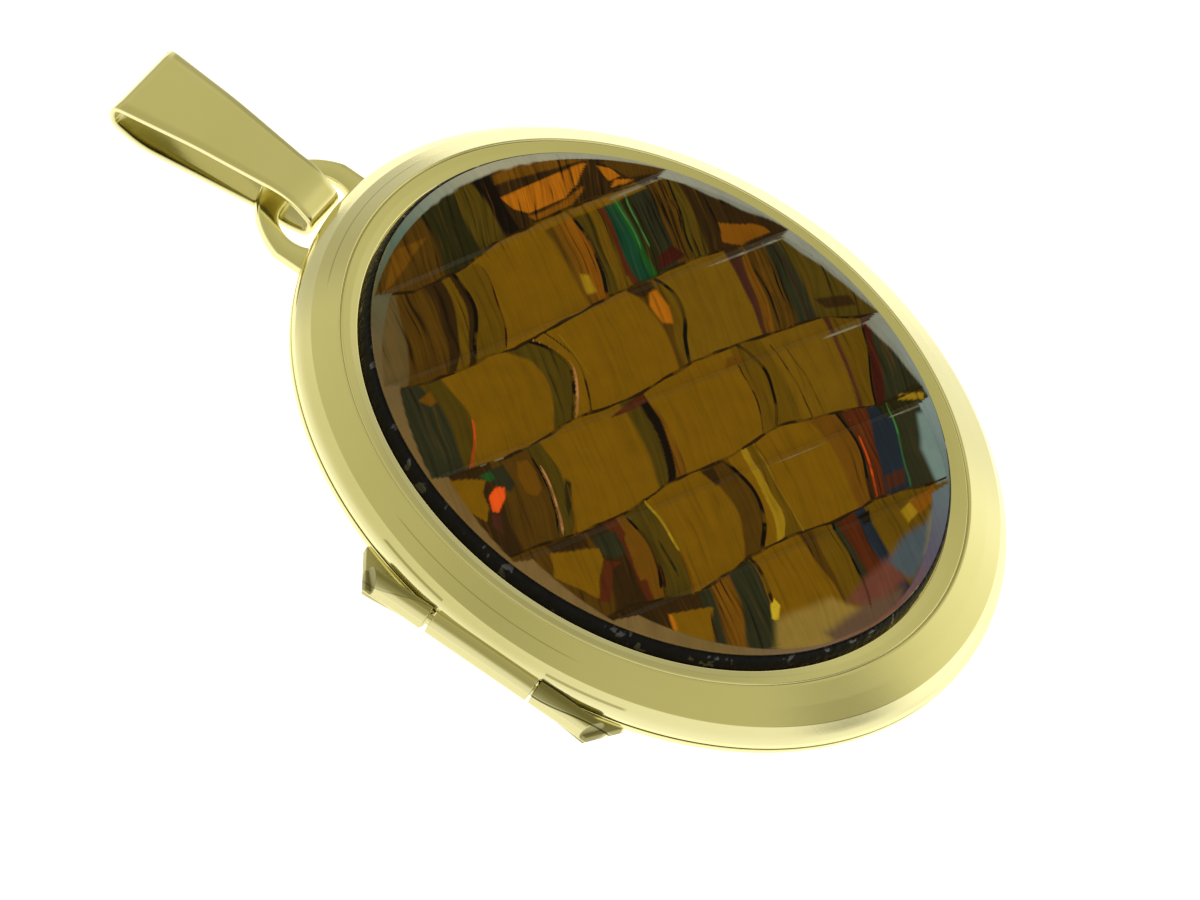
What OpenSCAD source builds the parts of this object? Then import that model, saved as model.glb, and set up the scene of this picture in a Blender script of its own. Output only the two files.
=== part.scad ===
// Round hinged locket with a large strip-cut stone in its lid and a folded strap bail.
// It lies on its flat back: +Z is the front, +Y points to the bail, the hinge is on the -X side.
// The origin is the centre of the flat back. All sizes are in millimetres.

/* [Case] */
// Radius of the round case at the seam between back and lid
case_r = 15.5; // [14:0.1:17]
// Height of the seam above the flat back
seam_z = 1.5; // [1.4:0.05:2.2]
// Radius of the flat area that the case rests on
back_flat_r = 13.2; // [12:0.1:13.4]
// Thickness of the back's sheet
sheet_t = 0.4; // [0.3:0.05:0.5]
// Gap between back and lid along the seam
seam_gap = 0.08; // [0.05:0.01:0.12]
// Height of the snap lip above the seam
lip_h = 0.3; // [0.2:0.05:0.35]

/* [Lid frame] */
// Radius where the bright outer wall turns into the wide face
crease_r = 14.95; // [14.6:0.05:15.1]
// Height of that turn above the seam
crease_h = 0.77; // [0.6:0.01:0.85]
// Radius of the fine engraved groove round the opening
groove_r = 13.6; // [13.4:0.05:13.9]
// Height of the face at the groove, above the seam
groove_h = 1.39; // [1.2:0.01:1.5]
// Radius of the opening that shows the stone
opening_r = 12.8; // [12.7:0.05:13]
// Height of the opening's edge above the seam
opening_h = 1.23; // [1.1:0.01:1.35]
// How far the opening and the stone sit towards the bail
stone_shift = 0.37; // [0:0.01:0.5]

/* [Stone] */
// Radius of the stone
stone_r = 12.5; // [12:0.05:12.6]
// Height of the stone's upper edge above the seam
stone_edge_h = 1.91; // [1.7:0.01:2.1]
// Distance from one ridge of the strip cut to the next
strip_pitch = 4.42; // [3.5:0.01:5]
// Number of strips that slope down from a ridge
strip_count = 6; // [5:1:7]
// Offset of the first ridge from the stone's centre
first_ridge = 8.95; // [8:0.05:10]
// Direction of the ridges, turned from the X axis
strip_turn = -23.8; // [-40:0.1:0]
// Height of the ridges above the stone's edge
ridge_h = 0.32; // [0.2:0.01:0.5]
// Width of the bevel round the top, at the ridges' height
bevel_w = 0.95; // [0.6:0.05:1.3]
// Drop of the ridges from the hinge's far side to the hinge, in degrees
strip_tilt = 0.35; // [0:0.05:1]

/* [Foil backing] */
// Distance from one raised plate of the foil to the next, along the strips
plate_l = 6.3; // [5:0.05:7]
// Height of the raised plates
plate_h = 0.16; // [0.1:0.01:0.25]
// Start of a plate in the first whole row, from the stone's centre
plate_start = 2.2; // [0:0.1:6]
// Shift of the plates from one row to the next
plate_stagger = 1.5; // [0:0.05:4]

/* [Setting ring] */
// Drop from the stone's upper edge to the top of the black collar round it
collar_drop = 0.08; // [0.05:0.01:0.5]

/* [Hinge] */
// Outer radius of the hinge tube
knuckle_r = 0.5; // [0.45:0.01:0.6]
// Radius of the hinge pin
pin_r = 0.22; // [0.18:0.01:0.25]
// Distance from the case's axis to the hinge's axis
hinge_x = 15.7; // [15.65:0.05:15.9]
// How far the hinge sits towards the bail
hinge_aside = 0.43; // [0:0.01:0.5]
// Half length of the lid's knuckle
lid_knuckle = 2.35; // [2:0.01:2.6]
// Height of the seat that joins the lid's knuckle to the lid
seat_h = 0.17; // [0.1:0.01:0.3]
// Thickness of the leaves that carry the back's knuckles
leaf_t = 0.4; // [0.3:0.05:0.5]
// Half length of the whole hinge
hinge_half = 5; // [4.5:0.1:5.5]

/* [Eye] */
// Radius of the eye plate's arched top
eye_r = 3.53; // [3.4:0.01:3.7]
// Distance from the case's axis to the centre of that arch
eye_y = 14.9; // [14.8:0.01:15]
// Half width of the eye plate
eye_half = 3.25; // [3.1:0.01:3.4]
// Depth of the eye plate's top below the seam
eye_drop = 0.3; // [0.2:0.01:0.5]
// Thickness of the eye plate
eye_t = 0.38; // [0.3:0.01:0.45]
// Half width of the slot in the eye plate
slot_half = 2.15; // [2:0.01:2.2]
// Radius of the slot's round ends
slot_r = 1.12; // [1:0.01:1.2]
// Distance from the case's axis to the middle of the slot
slot_y = 16.03; // [15.9:0.01:16.1]

/* [Bail] */
// Thickness of the bail's strap
strap_t = 0.22; // [0.16:0.01:0.26]
// Width of the strap at the wide end
strap_wide = 4.7; // [4.2:0.1:5.2]
// Width of the front of the strap at the loop's origin, over the bar of the eye
strap_waist = 2.6; // [2.2:0.1:2.6]
// Width of the front of the strap, three millimetres beyond the loop's origin
strap_end = 2.2; // [1.8:0.1:2.2]
// Width of the hidden end of the strap, behind the eye plate
strap_back = 1.5; // [1.3:0.1:1.9]
// Distance from the loop's origin to the wide end
bail_reach = 6.9; // [6:0.1:7.5]
// How far the loose bail is turned about Z, in degrees
bail_turn = -3.8; // [-5:0.1:5]
// How far the loose bail hangs beside the middle of the eye
bail_aside = 0.08; // [-0.1:0.01:0.1]
// Distance from the case's axis to the loop's origin
bail_y = 17.93; // [17.9:0.01:18]
// Height of the loop's origin
bail_z = 1.13; // [1.1:0.01:1.3]

/* [Hidden] */

gold = "#c9c27a";
amber = "#7a5a10";
black = "#14110e";
fine = 96;
running_fit = 0.03;
hinge_z = seam_z;
lip_r = 14.5;
lip_t = 0.4;
lip_play = 0.15;
web_t = 0.25;
cup_t = 0.2;
web_top = seam_z + seam_gap + web_t;
foil_bottom = web_top + 0.02;
stone_bottom = foil_bottom + cup_t + plate_h + 0.02;
stone_edge = seam_z + stone_edge_h;

// Points of a quarter of an ellipse from the turn at angle a to the turn at angle b
function arc(cx, cy, rx, ry, a, b, n) =
    [for (i = [0 : n]) let (t = a + (b - a) * i / n) [cx + rx * cos(t), cy + ry * sin(t)]];

// Outline of a convex loop given as corners [y, z, radius] in turning order, moved outwards by d
function rounded(corners, d, steps) =
    let (n = len(corners))
    [for (i = [0 : n - 1])
        let (at = corners[i], from = corners[(i + n - 1) % n], to = corners[(i + 1) % n],
             p = [at[0], at[1]], u = unit(p - [from[0], from[1]]), w = unit([to[0], to[1]] - p),
             turn = (atan2(w[1], w[0]) - atan2(u[1], u[0]) + 360) % 360,
             centre = p - at[2] * tan(turn / 2) * u + at[2] * [-u[1], u[0]],
             start = atan2(-u[0], u[1]))
        for (k = [0 : steps])
            let (t = start + turn * k / steps)
            centre + (at[2] + d) * [cos(t), sin(t)]];

function unit(v) = v / norm(v);

module at_stone() translate([0, stone_shift, 0]) children();

module along_hinge(r, from, to) {
    translate([-hinge_x, to + hinge_aside, hinge_z])
        rotate([90, 0, 0])
            cylinder(r = r, h = to - from, $fn = 48);
}

// Back: a shallow dish with a snap lip, the eye plate and the two outer knuckles of the hinge
module back_dish() {
    outside = concat([[0, 0]], arc(back_flat_r - 0.4, 2.35, 2.4, 2.35, 270, 314, 6),
                     [[case_r - 0.55, seam_z - 0.75], [case_r, seam_z - 0.25], [case_r, seam_z]]);
    lip = [[lip_r, seam_z], [lip_r, seam_z + lip_h], [lip_r - lip_t, seam_z + lip_h]];
    inside = [[lip_r - lip_t, seam_z - 0.3], [13.5, 0.62], [12.9, sheet_t], [0, sheet_t]];
    rotate_extrude($fn = fine)
        polygon(concat(outside, lip, inside));
}

module eye_slot() {
    for (side = [-1, 1])
        translate([side * (slot_half - slot_r), slot_y, -1])
            cylinder(r = slot_r, h = eye_t + 2, $fn = fine);
    translate([slot_r - slot_half, slot_y - slot_r, -1])
        cube([2 * (slot_half - slot_r), 2 * slot_r, eye_t + 2]);
}

module eye_plate() {
    translate([0, 0, seam_z - eye_drop - eye_t])
        difference() {
            intersection() {
                translate([0, eye_y, 0])
                    cylinder(r = eye_r, h = eye_t, $fn = fine);
                translate([-eye_half, 0, 0])
                    cube([2 * eye_half, 2 * eye_y, eye_t]);
            }
            eye_slot();
        }
}

// A leaf and a knuckle of the back; side is 1 towards the bail and -1 away from it
module back_leaf(side) {
    inner = lid_knuckle + 0.1;
    flare = hinge_half + 1.1;
    along_hinge(knuckle_r, side > 0 ? inner : -hinge_half, side > 0 ? hinge_half : -inner);
    translate([0, hinge_aside, hinge_z - knuckle_r])
        linear_extrude(leaf_t)
            polygon([[-14.3, side * inner], [-hinge_x, side * inner], [-hinge_x, side * hinge_half],
                     [-14.1, side * flare], [-13.6, side * flare]]);
}

module back_shell() {
    color(gold)
        difference() {
            union() {
                back_dish();
                difference() {
                    union() {
                        eye_plate();
                        back_leaf(1);
                        back_leaf(-1);
                    }
                    translate([0, 0, seam_z - 1])
                        cylinder(r = 14.6, h = 2, $fn = fine);
                }
            }
            along_hinge(pin_r + running_fit, -hinge_half - 1, hinge_half + 1);
            along_hinge(knuckle_r + 0.12, -lid_knuckle - 0.1, lid_knuckle + 0.1);
        }
}

// Lid: a frame with a bevelled wall and a sloping face, the seat of the stone and the middle knuckle
module lid_face() {
    at_stone()
        translate([0, 0, seam_z + groove_h - 0.02])
            cylinder(r = groove_r + 0.02, h = 0.02, $fn = fine);
    translate([0, 0, seam_z + crease_h])
        cylinder(r = crease_r, h = 0.02, $fn = fine);
}

module lid_wall() {
    rotate_extrude($fn = fine)
        polygon([[0, seam_z + seam_gap], [case_r, seam_z + seam_gap], [case_r, seam_z + seam_gap + 0.06],
                 [crease_r, seam_z + crease_h], [crease_r, seam_z + crease_h + 0.02],
                 [0, seam_z + crease_h + 0.02]]);
}

module lid_opening() {
    at_stone()
        rotate_extrude($fn = fine)
            polygon([[0, web_top], [opening_r, web_top], [opening_r, seam_z + opening_h],
                     [groove_r - 0.04, seam_z + groove_h - 0.04], [groove_r, seam_z + groove_h - 0.1],
                     [groove_r + 0.04, seam_z + groove_h + 1], [0, seam_z + groove_h + 1]]);
}

module lip_recess() {
    rotate_extrude($fn = fine)
        polygon([[lip_r - lip_t - lip_play, seam_z], [lip_r + lip_play, seam_z],
                 [lip_r + lip_play, seam_z + lip_h + 0.1], [lip_r - lip_t - lip_play, seam_z + lip_h + 0.1]]);
}

module lid_leaf() {
    along_hinge(knuckle_r, -lid_knuckle, lid_knuckle);
    translate([-hinge_x, hinge_aside - lid_knuckle, seam_z + seam_gap])
        cube([1.2, 2 * lid_knuckle, seat_h]);
}

module lid() {
    color(gold)
        difference() {
            union() {
                lid_wall();
                hull() lid_face();
                lid_leaf();
            }
            lid_opening();
            lip_recess();
            along_hinge(pin_r + running_fit, -hinge_half - 1, hinge_half + 1);
            for (side = [-1, 1])
                translate([0, side * (lid_knuckle + 2.5), 0])
                    along_hinge(knuckle_r + 0.12, -2.5, 2.5);
        }
}

// Pin through the three knuckles
module hinge_pin() {
    color(gold)
        along_hinge(pin_r, -hinge_half + 0.02, hinge_half - 0.02);
}

// Stone: a round body cut into long strips, each sloping from its ridge to the foot of the next
module strip_cut() {
    low = -stone_r - 3;
    ridges = [for (k = [-1 : strip_count]) first_ridge - k * strip_pitch];
    saw = [for (y = ridges) each [[y + 0.35, 0.02], [y, ridge_h]]];
    rotate([0, 0, strip_turn])
        rotate([0, -strip_tilt, 0])
            rotate([90, 0, 90])
                translate([0, 0, -stone_r - 2])
                    linear_extrude(2 * stone_r + 4)
                        polygon(concat([[low - 12, -4], [stone_r + 6, -4]], saw, [[low - 12, 0.02]]));
}

module stone_body() {
    depth = stone_edge - stone_bottom;
    rotate_extrude($fn = fine)
        polygon([[0, -depth], [stone_r - 0.15, -depth], [stone_r, -depth + 0.15], [stone_r, 0],
                 [stone_r - 2 * bevel_w, 2 * ridge_h], [0, 2 * ridge_h]]);
}

module stone() {
    color(amber, 0.8)
        at_stone()
            translate([0, 0, stone_edge])
                intersection() {
                    stone_body();
                    strip_cut();
                }
}

// Foil backing: a thin disc with staggered raised plates, as seen through the stone
module foil_plates() {
    row = strip_pitch;
    for (k = [-1 : strip_count - 2], j = [-3 : 2])
        translate([plate_start + j * plate_l + k * plate_stagger, first_ridge - (k + 1) * row + 0.3, 0])
            cube([plate_l - 0.9, row - 0.6, plate_h]);
}

module foil_backing() {
    color("#8a6a18")
        at_stone() {
            translate([0, 0, foil_bottom])
                cylinder(r = stone_r - 0.3, h = cup_t, $fn = fine);
            translate([0, 0, foil_bottom + cup_t - 0.01])
                intersection() {
                    cylinder(r = stone_r - 0.5, h = 1, $fn = fine);
                    rotate([0, 0, strip_turn])
                        foil_plates();
                }
        }
}

// Setting ring: the black collar of cement that fills the gap and covers the stone's side
module setting_ring() {
    play = 0.03;
    inner = stone_r + play;
    thick = opening_r - play - inner;
    swell = seam_z + opening_h - 0.12;
    foot = [[inner, web_top + 0.02], [inner + thick, web_top + 0.02]];
    color(black)
        at_stone()
            rotate_extrude($fn = fine)
                polygon(concat(foot, arc(inner, swell, thick, stone_edge - collar_drop - swell, 0, 90, 5)));
}

// Bail: a strap folded to a loop through the eye; its side view, in Y and Z about the loop's origin
bail_corners = [
    // [y, z, radius]
    [5.2, -1.02, 4], [bail_reach - 0.28, -0.58, 0.75], [bail_reach, 0.15, 0.3], [3.4, 0.6, 20],
    [-0.9, 0.87, 3], [-2.15, 0.42, 0.4], [-2.24, -0.5, 0.5], [-1.2, -0.79, 3]
];

module bail_loop(d, width) {
    rotate([90, 0, 90])
        translate([0, 0, -width / 2])
            linear_extrude(width)
                polygon(rounded(bail_corners, d, 5));
}

// Plan of the strap between two widths, and a third one at its end beyond the loop's origin
module bail_plan(end, waist, from, height) {
    translate([0, 0, from])
        linear_extrude(height)
            polygon([[-end / 2, -3], [end / 2, -3], [waist / 2, 0], [strap_wide / 2, bail_reach],
                     [-strap_wide / 2, bail_reach], [-waist / 2, 0]]);
}

module bail() {
    color(gold)
        translate([bail_aside, bail_y, bail_z])
            rotate([0, 0, bail_turn])
                difference() {
                    intersection() {
                        bail_loop(strap_t / 2, 8);
                        union() {
                            bail_plan(strap_end, strap_waist, -0.4, 3);
                            bail_plan(strap_back, strap_back + 0.2, -3, 2.7);
                        }
                    }
                    bail_loop(-strap_t / 2, 10);
                }
}

back_shell();
lid();
hinge_pin();
stone();
foil_backing();
setting_ring();
bail();
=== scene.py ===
# %% [markdown]
# # A round locket with a strip-cut stone
# The real object is a small gold locket, 31 mm across, that lies on its flat back. Its lid holds a large
# round stone cut into long strips, and a folded strap, the bail, hangs in an eye at the top. The packed
# CAD model fixes every size, so it is loaded first, and each piece below is put where it says.

# %% Load the frame
import bmesh
import bpy
import numpy as np
from mathutils import Matrix


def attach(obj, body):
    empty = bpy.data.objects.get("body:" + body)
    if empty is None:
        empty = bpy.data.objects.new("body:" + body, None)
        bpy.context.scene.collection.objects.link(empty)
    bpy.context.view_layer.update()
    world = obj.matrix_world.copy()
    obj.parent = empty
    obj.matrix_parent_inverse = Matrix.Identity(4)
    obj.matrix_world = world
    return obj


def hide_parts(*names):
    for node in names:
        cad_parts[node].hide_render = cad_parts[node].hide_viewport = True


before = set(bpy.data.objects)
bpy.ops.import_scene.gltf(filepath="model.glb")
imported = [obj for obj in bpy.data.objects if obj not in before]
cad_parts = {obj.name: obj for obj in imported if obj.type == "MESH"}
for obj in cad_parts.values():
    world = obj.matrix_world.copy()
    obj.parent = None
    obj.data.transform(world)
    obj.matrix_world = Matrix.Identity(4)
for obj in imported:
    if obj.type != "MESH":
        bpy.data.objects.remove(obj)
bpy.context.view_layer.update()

# %% [markdown]
# ## The camera
# The photograph looks down on the locket from its hinge side at about 44 degrees, with a long lens, and
# rolls the object so that its strips run up to the right. A Track To constraint could aim the camera, but
# a matrix of three directions gives the roll as well, so the camera is set from those.

# %% Camera
MM = 0.001


def unit(vector):
    """The vector divided by its length."""
    return np.asarray(vector, float) / np.linalg.norm(vector)


to_camera = unit([-0.723, -0.018, 0.690])
upwards = unit(np.cross(to_camera, [0.400, -0.826, 0.398]))
to_right = np.cross(upwards, to_camera)
stand_off = 400.0                      # mm from the stone to the camera
stone_centre = np.array([0.0, 0.37, 3.41])
below, to_left, down = 1.5, 1.918, 1.107      # mm from there to the middle of the picture
aim = stone_centre - below * np.array([0, 0, 1]) - to_left * to_right - down * upwards
eye_point = aim + stand_off * to_camera

camera_data = bpy.data.cameras.new("camera")
camera_data.sensor_width = 36.0
pixels_per_mm, picture_width = 25.168, 1200
camera_data.lens = pixels_per_mm * stand_off / picture_width * camera_data.sensor_width
camera = bpy.data.objects.new("camera", camera_data)
bpy.context.scene.collection.objects.link(camera)
pose = np.eye(4)
pose[:3, 0], pose[:3, 1], pose[:3, 2], pose[:3, 3] = to_right, upwards, to_camera, eye_point * MM
camera.matrix_world = Matrix(pose.tolist())
bpy.context.scene.camera = camera
print("camera at", np.round(eye_point, 1), "mm, lens", round(camera_data.lens, 1), "mm")

# %% [markdown]
# ## Shader maths
# A material is a graph of nodes. Wiring each one by hand hides the formula, so a wire is wrapped in a
# class that knows + - * / ** and abs.

# %% Wires
class Wire:
    """An output socket. Arithmetic on it adds Math nodes, so a shader formula reads like one."""

    def __init__(self, bench, socket):
        self.bench, self.socket = bench, socket

    def maths(self, operation, *values):
        return self.bench.add("ShaderNodeMath", {"operation": operation}, dict(enumerate(values)))

    def __add__(self, other): return self.maths("ADD", self, other)
    def __radd__(self, other): return self.maths("ADD", other, self)
    def __sub__(self, other): return self.maths("SUBTRACT", self, other)
    def __rsub__(self, other): return self.maths("SUBTRACT", other, self)
    def __mul__(self, other): return self.maths("MULTIPLY", self, other)
    def __rmul__(self, other): return self.maths("MULTIPLY", other, self)
    def __truediv__(self, other): return self.maths("DIVIDE", self, other)
    def __pow__(self, other): return self.maths("POWER", self, other)
    def __abs__(self): return self.maths("ABSOLUTE", self)

    def step(self, low, high):
        """0 below low, 1 above high, and a smooth rise between them."""
        return self.bench.add("ShaderNodeMapRange", {"interpolation_type": "SMOOTHSTEP"},
                              {"Value": self, "From Min": low, "From Max": high})

    def near(self, value, full, none):
        """1 where the wire is within `full` of a value, 0 where it is further than `none` from it."""
        return 1.0 - abs(self - value).step(full, none)


print("wires know + - * / ** and abs")

# %% [markdown]
# ## The bench
# The nodes themselves are laid out on a bench, one for each material. One method adds any node, and the
# few kinds that come again and again, such as noise in millimetres, have a short name of their own.

# %% Bench
class Bench:
    """A node tree being built. add() sets a node's settings, then the values or wires of its sockets."""

    def __init__(self, owner):
        owner.use_nodes = True
        self.tree = owner.node_tree
        self.tree.nodes.clear()

    def add(self, kind, settings=None, sockets=None, out=0):
        node = self.tree.nodes.new(kind)
        for key, value in (settings or {}).items():
            if key == "stops":
                while len(node.color_ramp.elements) < len(value):
                    node.color_ramp.elements.new(1.0)
                for element, (place, colour) in zip(node.color_ramp.elements, value):
                    element.position, element.color = place, (*colour, 1.0)
            else:
                setattr(node, key, value)
        for key, value in (sockets or {}).items():
            if isinstance(value, Wire):
                self.tree.links.new(value.socket, node.inputs[key])
            else:
                node.inputs[key].default_value = value
        return Wire(self, node.outputs[out]) if len(node.outputs) else node

    def vector(self, operation, first, second, out=0):
        """A Vector Math node. A dot product comes out of its second socket."""
        return self.add("ShaderNodeVectorMath", {"operation": operation}, {0: first, 1: second}, out=out)

    def blend(self, amount, first, second, how="MIX"):
        """A colour between two colours."""
        first, second = [(*c, 1.0) if isinstance(c, tuple) else c for c in (first, second)]
        return self.add("ShaderNodeMix", {"data_type": "RGBA", "blend_type": how},
                        {0: amount, 6: first, 7: second}, out=2)

    def millimetres(self, stretch=(1.0, 1.0, 1.0)):
        """The piece's own coordinates in millimetres, each axis multiplied by a stretch."""
        return self.vector("MULTIPLY", self.add("ShaderNodeTexCoord", out=3), tuple(s / MM for s in stretch))

    def noise(self, vector, scale, detail):
        """Noise with about `scale` features to the unit of the vector."""
        return self.add("ShaderNodeTexNoise", None, {"Vector": vector, "Scale": scale, "Detail": detail})

    def bump(self, height, strength, distance):
        """A normal from a height, where `distance` is in millimetres."""
        return self.add("ShaderNodeBump", None,
                        {"Strength": strength, "Distance": distance * MM, "Height": height})

    def surface(self, sockets):
        """A Principled shader with these sockets, wired to the material's output."""
        body = self.add("ShaderNodeBsdfPrincipled", None, sockets)
        self.add("ShaderNodeOutputMaterial", None, {0: body})


def dress(material, *pieces):
    """Gives each piece this one material."""
    for piece in pieces:
        piece.data.materials.clear()
        piece.data.materials.append(material)
    print(material.name, "on", ", ".join(piece.name for piece in pieces))


print("bench ready")

# %% [markdown]
# ## Light
# The photograph was taken in a light tent: white below and at the sides, dimmer overhead, which is what
# the pale and the darker bands of the polished rim mirror. Area lights would show as shapes in the gold,
# so the tent is a World whose brightness falls smoothly from the sides to the top, with four soft grey
# cards and a white one in it. The dim part is a little warmer, because a camera deepens the colour of
# darker gold.

# %% Light tent
world = bpy.data.worlds.new("light_tent")
bpy.context.scene.world = world
tent = Bench(world)
way = tent.add("ShaderNodeTexCoord", out=0)
height_in_tent = tent.vector("DOT_PRODUCT", way, (0.30, 0.15, 1.0), out=1)
shade = tent.add("ShaderNodeValToRGB", {"stops": [
    (0.00, (1.06, 1.06, 1.04)), (0.32, (1.0, 1.0, 0.96)), (0.50, (0.90, 0.89, 0.78)),
    (0.58, (0.76, 0.74, 0.56)), (0.67, (0.66, 0.64, 0.45)), (0.74, (0.60, 0.58, 0.39)),
    (0.88, (0.54, 0.52, 0.33)), (1.00, (0.46, 0.44, 0.26))]}, {0: height_in_tent})
CARDS = [                              # the way to the card, cosines at its edge and inside, dimming
    ((0.66, 0.75, 0.05), 0.85, 0.985, 0.40), ((0.29, -0.73, 0.62), 0.935, 0.985, 0.85),
    ((-0.35, 0.02, 0.94), 0.93, 0.995, 0.18), ((0.93, 0.02, 0.37), 0.965, 0.995, 0.42),
    ((0.72, -0.62, 0.33), 0.90, 0.975, -0.30)]
brightness = 1.0
for facing, at_edge, inside, dimming in CARDS:
    toward = tent.vector("DOT_PRODUCT", way, facing, out=1)
    brightness = brightness * (1.0 - toward.step(at_edge, inside) * dimming)
glow = tent.add("ShaderNodeBackground", None, {"Color": shade, "Strength": brightness})
tent.add("ShaderNodeOutputWorld", None, {0: glow})
bpy.context.scene.view_settings.view_transform = "Standard"
print("tent with", len(CARDS), "cards")

# %% [markdown]
# ## Floor
# The locket lies on a white sheet. A plane that is lit only from above would be grey with a dark contact
# shadow, which the photograph hasn't got, so the sheet also glows a little, as on a light table.

# %% Floor
half_floor = 3000.0                    # mm
mesh = bpy.data.meshes.new("floor")
corners = np.array([[-1, -1, 0], [1, -1, 0], [1, 1, 0], [-1, 1, 0]]) * half_floor * MM
mesh.from_pydata(corners.tolist(), [], [[0, 1, 2, 3]])
floor = bpy.data.objects.new("floor", mesh)
bpy.context.scene.collection.objects.link(floor)
white = bpy.data.materials.new("white_sheet")
Bench(white).surface({"Base Color": (0.55, 0.55, 0.55, 1), "Roughness": 0.9, "Specular IOR Level": 0.1,
                      "Emission Color": (1, 1, 1, 1), "Emission Strength": 0.85})
dress(white, floor)

# %% [markdown]
# ## Pieces from sheets of points
# Every new piece is a grid of points that numpy works out as whole arrays. One helper turns such grids
# into a closed mesh: it numbers the points, puts a face between each four neighbours, merges the seams
# and poles, and points the faces outwards. Faces typed in one by one would be longer and easy to turn
# inside out.

# %% Grids to meshes
merge_gap = 3e-7                       # metres, under which two points are one


def skin(name, grids, crisp=40.0, **values):
    """A mesh object from grids (points in mm, rows join, columns join). `crisp` is the angle in degrees
    above which an edge is shaded sharp, and values are attributes by name, one row for each point."""
    points, faces, start = [], [], 0
    for grid, rows_join, columns_join in grids:
        number = start + np.arange(grid.shape[0] * grid.shape[1]).reshape(grid.shape[:2])
        start += number.size
        number = np.vstack([number, number[:1]]) if rows_join else number
        number = np.hstack([number, number[:, :1]]) if columns_join else number
        faces.append(np.stack([number[:-1, :-1], number[:-1, 1:], number[1:, 1:], number[1:, :-1]],
                              -1).reshape(-1, 4))
        points.append(grid.reshape(-1, 3))
    points, faces = np.concatenate(points) * MM, np.concatenate(faces)
    mesh = bpy.data.meshes.new(name)
    mesh.vertices.add(len(points))
    mesh.vertices.foreach_set("co", points.astype(np.float32).ravel())
    mesh.loops.add(faces.size)
    mesh.loops.foreach_set("vertex_index", faces.astype(np.int32).ravel())
    mesh.polygons.add(len(faces))
    mesh.polygons.foreach_set("loop_start", np.arange(0, faces.size, 4, dtype=np.int32))
    mesh.update(calc_edges=True)
    for key, value in values.items():
        kind, field = ("FLOAT_COLOR", "color") if value.ndim == 2 else ("FLOAT", "value")
        layer = mesh.attributes.new(key, kind, "POINT")
        layer.data.foreach_set(field, value.astype(np.float32).ravel())
    work = bmesh.new()
    work.from_mesh(mesh)
    bmesh.ops.remove_doubles(work, verts=work.verts, dist=merge_gap)
    bmesh.ops.recalc_face_normals(work, faces=work.faces)
    work.to_mesh(mesh)
    work.free()
    mesh.polygons.foreach_set("use_smooth", np.ones(len(mesh.polygons), dtype=bool))
    mesh.set_sharp_from_angle(angle=np.radians(crisp))
    piece = bpy.data.objects.new(name, mesh)
    bpy.context.scene.collection.objects.link(piece)
    print(name, "has", sum(len(p.vertices) - 2 for p in mesh.polygons), "triangles")
    return piece


print("meshes merge points nearer than", merge_gap / MM, "mm")

# %% [markdown]
# ## Outlines
# Most of the locket is turned or drawn metal, whose edges are all a little round. So a section is given
# by its corners, each with a radius of its own. A Bevel modifier could round the corners afterwards, but
# it would give them all one width.

# %% Outlines
def rounded(corners, closed=False, steps=5, guard=0.03):
    """An outline through corners (across, up, radius, extra ...). Each corner c becomes the curve
    (1-t)^2 a + 2t(1-t) c + t^2 b, which touches both of its sides, with a point `guard` mm before and
    after it, so that flats stay flat. The radius is left out of the outline."""
    corners = np.array(corners, float)
    count, out = len(corners), []
    for i, corner in enumerate(corners):
        if corner[2] == 0 or (not closed and i in (0, count - 1)):
            out.append(np.delete(corner, 2)[None])
            continue
        before, after = corners[i - 1], corners[(i + 1) % count]
        arm = [side - corner for side in (before, after)]
        reach = [np.linalg.norm(a[:2]) for a in arm]
        bend = np.pi - np.arccos(np.clip(arm[0][:2] @ arm[1][:2] / reach[0] / reach[1], -1, 1))
        cut = min(corner[2] * np.tan(bend / 2), 0.49 * min(reach))
        a, b = (corner + arm[k] * cut / reach[k] for k in (0, 1))
        t = np.linspace(0, 1, steps + 1)[:, None]
        curve = (1 - t) ** 2 * a + 2 * t * (1 - t) * corner + t ** 2 * b
        ends = [corner + arm[k] * min(cut + guard, 0.5 * reach[k]) / reach[k] for k in (0, 1)]
        out.append(np.delete(np.vstack([ends[:1], curve, ends[1:]]), 2, axis=1))
    return np.concatenate(out)


square = rounded([[0, 0, 0.1], [1, 0, 0.1], [1, 1, 0.1], [0, 1, 0.1]], closed=True)
print("a square with round corners has", len(square), "points")

# %% [markdown]
# ## Lathe work
# An outline becomes a piece when it is carried round an axis: the case's own for the lid and the back, the
# hinge's for the knuckles. The Screw modifier would do the first, but not the shift that the lid's
# opening needs.

# %% Turned pieces and tubes
hinge_at = np.array([-15.7, 1.5])      # X and Z of the hinge's axis, mm
hinge_middle = 0.43                    # Y of the middle of the hinge, mm


def with_column(rows, value):
    """The rows with one more column, which holds the same value all down."""
    return np.hstack([rows, np.full((len(rows), 1), value)])


def turned(outline, count=288, extra=()):
    """An outline (radius, height, shift) carried round the Z axis: x = r cos a, y = r sin a + shift.
    `extra` are angles that get a column of points too."""
    a = np.sort(np.concatenate([np.linspace(0, 2 * np.pi, count, endpoint=False), extra]))
    r, z, shift = (outline[:, k, None] for k in range(3))
    return np.stack([r * np.cos(a), r * np.sin(a) + shift, z + 0 * a], -1)


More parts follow.
